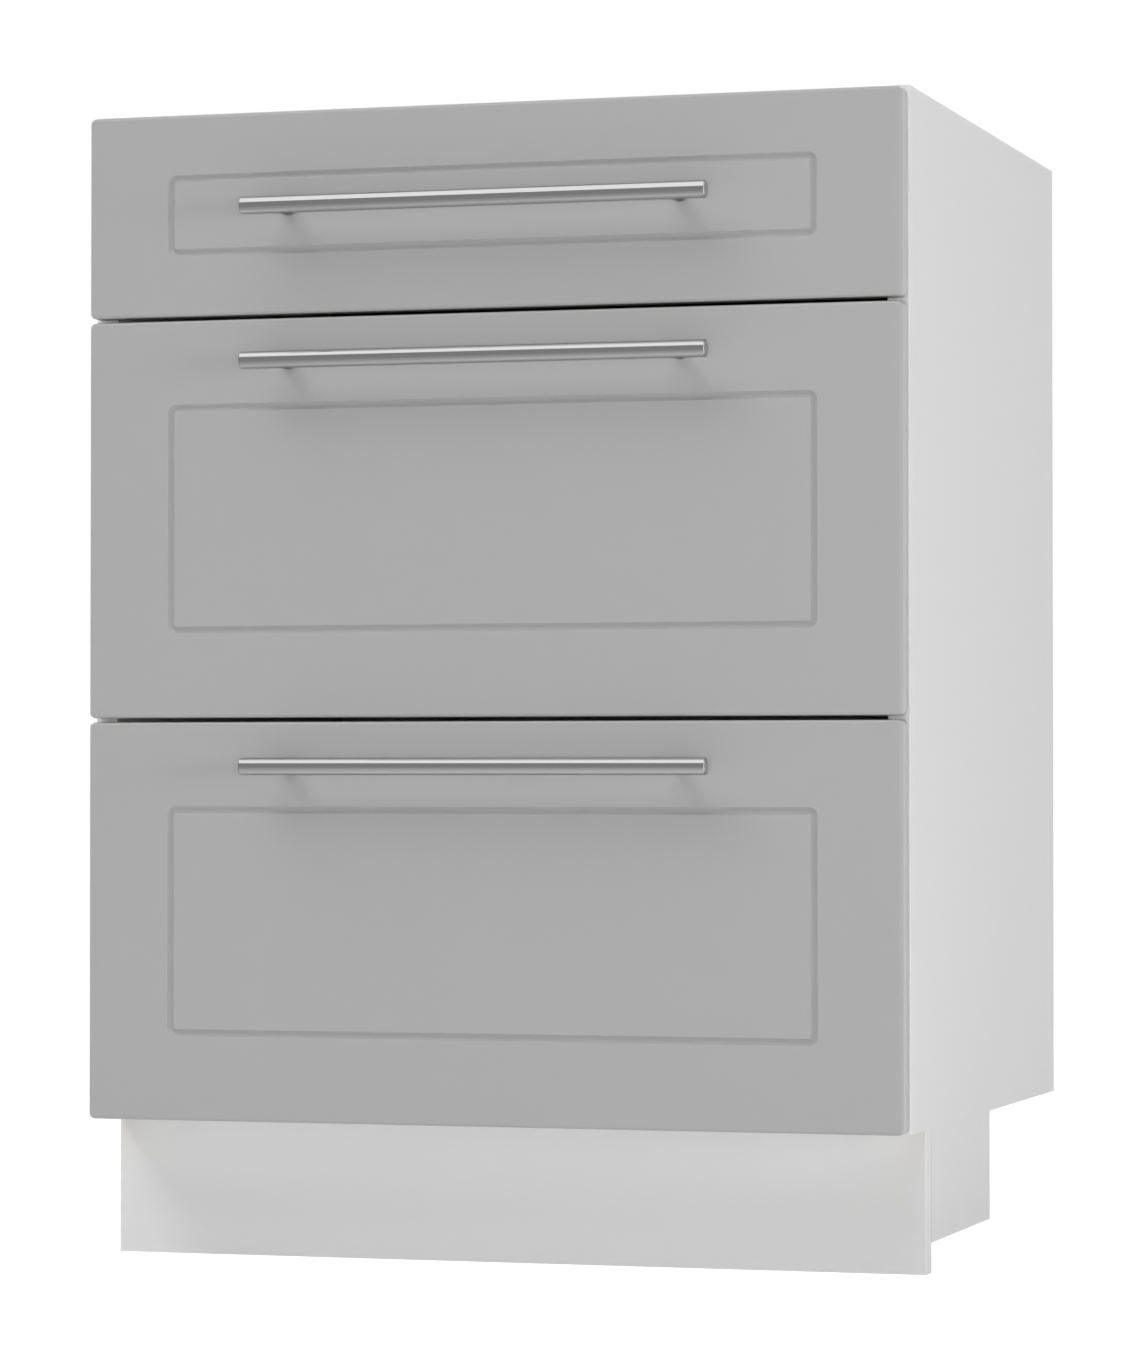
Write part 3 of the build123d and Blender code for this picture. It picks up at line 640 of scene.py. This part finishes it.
def threaded_foot(corner):
    """A foot with a thread and a ribbed pad, in place of the plain one at this corner."""
    low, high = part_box("foot_" + corner)
    rings = foot_rings((high.x - low.x) / 2, high.z)
    points = foot_points(low, high, rings)
    piece = new_piece("threaded_foot_" + corner, points, foot_faces(len(rings)))
    piece.data.shade_smooth()
    piece.data.set_sharp_from_angle(angle=SHARP_TURN)
    piece.data.materials.append(plastic.owner)
    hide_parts("foot_" + corner)
    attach(piece, corner + "_foot")
    return piece


feet = [threaded_foot(corner) for corner in ("front_left", "front_right", "rear_left", "rear_right")]
print("threaded feet:", len(feet), "with", len(feet[0].data.polygons), "faces each")

# %% [markdown]
# ## The studio
#
# The picture has a pure white background. Flooding the set with light would bleach the cabinet,
# so the light stays plain, and the floor and the sky are white only where the camera sees them,
# straight, mirrored in metal or through glass. A little real shading is left in the floor, which
# keeps the cabinet's shadow.

# %% Floor
FLOOR_HALF = 30.0
FLOOR_GLOW = 0.965
FLOOR_SHADING = 0.22
FLOOR_GREY = 0.90
FLOOR_ROUGHNESS = 0.9
FLOOR_CORNERS = ((-1, -1), (1, -1), (1, 1), (-1, 1))


def seen_directly(finish):
    """1 for rays that come from the camera, or off metal or through glass."""
    kinds = ("Is Camera Ray", "Is Glossy Ray", "Is Transmission Ray")
    camera_ray, metal_ray, glass_ray = [finish.node("ShaderNodeLightPath", output=kind) for kind in kinds]
    return camera_ray | metal_ray | glass_ray


corners = [(x * FLOOR_HALF, y * FLOOR_HALF, 0) for x, y in FLOOR_CORNERS]
floor = new_piece("floor", corners, [range(len(corners))])
paper = Finish("paper")
paper.surface(base_color=colour(FLOOR_GREY), roughness=FLOOR_ROUGHNESS)
shading = paper.node("ShaderNodeBsdfDiffuse", inputs={"Color": colour(FLOOR_SHADING)})
glow = paper.node("ShaderNodeEmission", inputs={"Strength": FLOOR_GLOW})
white_floor = paper.node("ShaderNodeAddShader", inputs={0: shading, 1: glow})
plain_floor = Signal(paper, paper.shader.outputs[0])
choice = {0: seen_directly(paper), 1: plain_floor, 2: white_floor}
both_floors = paper.node("ShaderNodeMixShader", inputs=choice)
paper.feed(paper.tree.nodes["Material Output"].inputs["Surface"], both_floors)
floor.data.materials.append(paper.owner)
print("floor:", 2 * FLOOR_HALF, "m square")

# %% [markdown]
# The world is the soft light that comes from everywhere. It is dimmer than the white that the
# camera sees behind the cabinet, and the same Light Path switch tells the two apart.

# %% World
SKY_LEVEL = 0.25

world = bpy.data.worlds.new("studio")
bpy.context.scene.world = world
sky = Finish("sky", world)
strength = seen_directly(sky) * (1.0 - SKY_LEVEL) + SKY_LEVEL
background = sky.tree.nodes["Background"]
background.inputs["Color"].default_value = colour(1.0)
sky.feed(background.inputs["Strength"], strength)
print("sky level:", SKY_LEVEL)

# %% [markdown]
# Soft lamps do the rest. The largest hangs high in front and shades the upper wall of each
# groove, so that it reads as a cut. A smaller one on the left gives the handle posts the faint
# shadows that fall down and to the right. A low strip behind the camera reaches the kickboard
# under the overhang of the fronts. Another strip lights the side, a lamp on the floor stands for
# the light that white paper throws back, and the last one keeps the rear readable. None of them
# shows in polished steel, which should mirror the white sky and not a set of bright squares.

# %% Lamps
OVERHEAD_POWER = 213.0
LEFT_POWER = 108.0
FRONT_POWER = 40.0
SIDE_POWER = 80.0
BOUNCE_POWER = 7.0
BACK_POWER = 60.0


def soft_lamp(name, place, target, width, height, power):
    """A flat soft lamp aimed at a point."""
    data = bpy.data.lights.new(name, "AREA")
    data.shape = "RECTANGLE"
    data.size = width
    data.size_y = height
    data.energy = power
    lamp = bpy.data.objects.new(name, data)
    bpy.context.collection.objects.link(lamp)
    lamp.location = place
    lamp.rotation_euler = (Vector(target) - Vector(place)).to_track_quat("-Z", "Y").to_euler()
    lamp.visible_glossy = False
    lamp.visible_camera = False


soft_lamp("overhead_lamp", (-0.7, -3.5, 6.8), (0, 0, 0.5), 6.5, 5.0, OVERHEAD_POWER)
soft_lamp("left_lamp", (-3.4, -3.4, 5.6), (0, 0, 0.5), 2.4, 2.4, LEFT_POWER)
soft_lamp("front_strip", (1.2, -4.6, 0.21), (0, 0, 0.35), 2.4, 0.4, FRONT_POWER)
soft_lamp("side_strip", (4.6, -2.1, 0.6), (0, 0, 0.5), 2.6, 1.1, SIDE_POWER)
soft_lamp("floor_bounce", (0.4, -1.5, 0.01), (0.4, -1.5, 1.0), 3.6, 2.4, BOUNCE_POWER)
soft_lamp("back_lamp", (-1.5, 4.5, 3.0), (0, 0, 0.4), 3.0, 2.0, BACK_POWER)

# %% [markdown]
# Polished metal only looks like metal when it has something dark to mirror. Photographers stand
# black cards round the set for this. The sheet below stands in for them as a painted reflection:
# it glows, though it is no lamp. It lies on the floor in front of the cabinet, pale near it and
# dark further out, and stands up as a dark wall. Only mirrored rays meet it, so it throws no
# shadow, lights nothing and hides nothing. Its greys are given with their distance from the
# middle of the cabinet.

# %% Glowing sheet of painted reflection for the metal
CARD_RINGS = [(0.0, 0.002), (3.0, 0.002), (3.0, 2.9)]
CARD_TURNS = (30, 150)
CARD_STEPS = 40
CARD_SPAN = 4.0
PAINTED_REFLECTION_GREYS = [(0.37, 0.57), (0.60, 0.46), (1.05, 0.35), (1.9, 0.28), (3.0, 0.25)]


def half_bowl():
    """A glowing sheet of painted reflection: a fan on the floor and a wall at its rim, in front of the
    cabinet.
    """
    start, end = (math.radians(turn) for turn in CARD_TURNS)
    turns = [start + (end - start) * step / CARD_STEPS for step in range(CARD_STEPS + 1)]
    points = [(-radius * math.cos(turn), -radius * math.sin(turn), height)
              for radius, height in CARD_RINGS for turn in turns]
    faces = []
    for ring in range(len(CARD_RINGS) - 1):
        for step in range(CARD_STEPS):
            corner = ring * (CARD_STEPS + 1) + step
            faces.append((corner, corner + 1, corner + CARD_STEPS + 2, corner + CARD_STEPS + 1))
    return new_piece("cards", points, faces)


cards = half_bowl()
card = Finish("card")
reach = card.node("ShaderNodeVectorMath", {"operation": "LENGTH"}, {0: card.place()}, output="Value")
stops = [(distance / CARD_SPAN, colour(grey)) for distance, grey in PAINTED_REFLECTION_GREYS]
shade = card.node("ShaderNodeValToRGB", {"stops": stops}, {"Fac": reach * (1 / CARD_SPAN)})
# the sheet glows with these greys: painted reflection for the metal, seen only in mirrors
painted_reflection_glow = card.node("ShaderNodeEmission", inputs={"Color": shade})
card.feed(card.tree.nodes["Material Output"].inputs["Surface"], painted_reflection_glow)
cards.data.materials.append(card.owner)
for kind in ("camera", "diffuse", "transmission", "volume_scatter", "shadow"):
    setattr(cards, "visible_" + kind, False)
print("cards:", len(cards.data.polygons), "faces")

# %% [markdown]
# ## Finish
#
# The picture is shown as it is rendered, with no film curve, so a colour comes out about as it
# was written.

# %% Close
bpy.context.scene.view_settings.view_transform = "Standard"
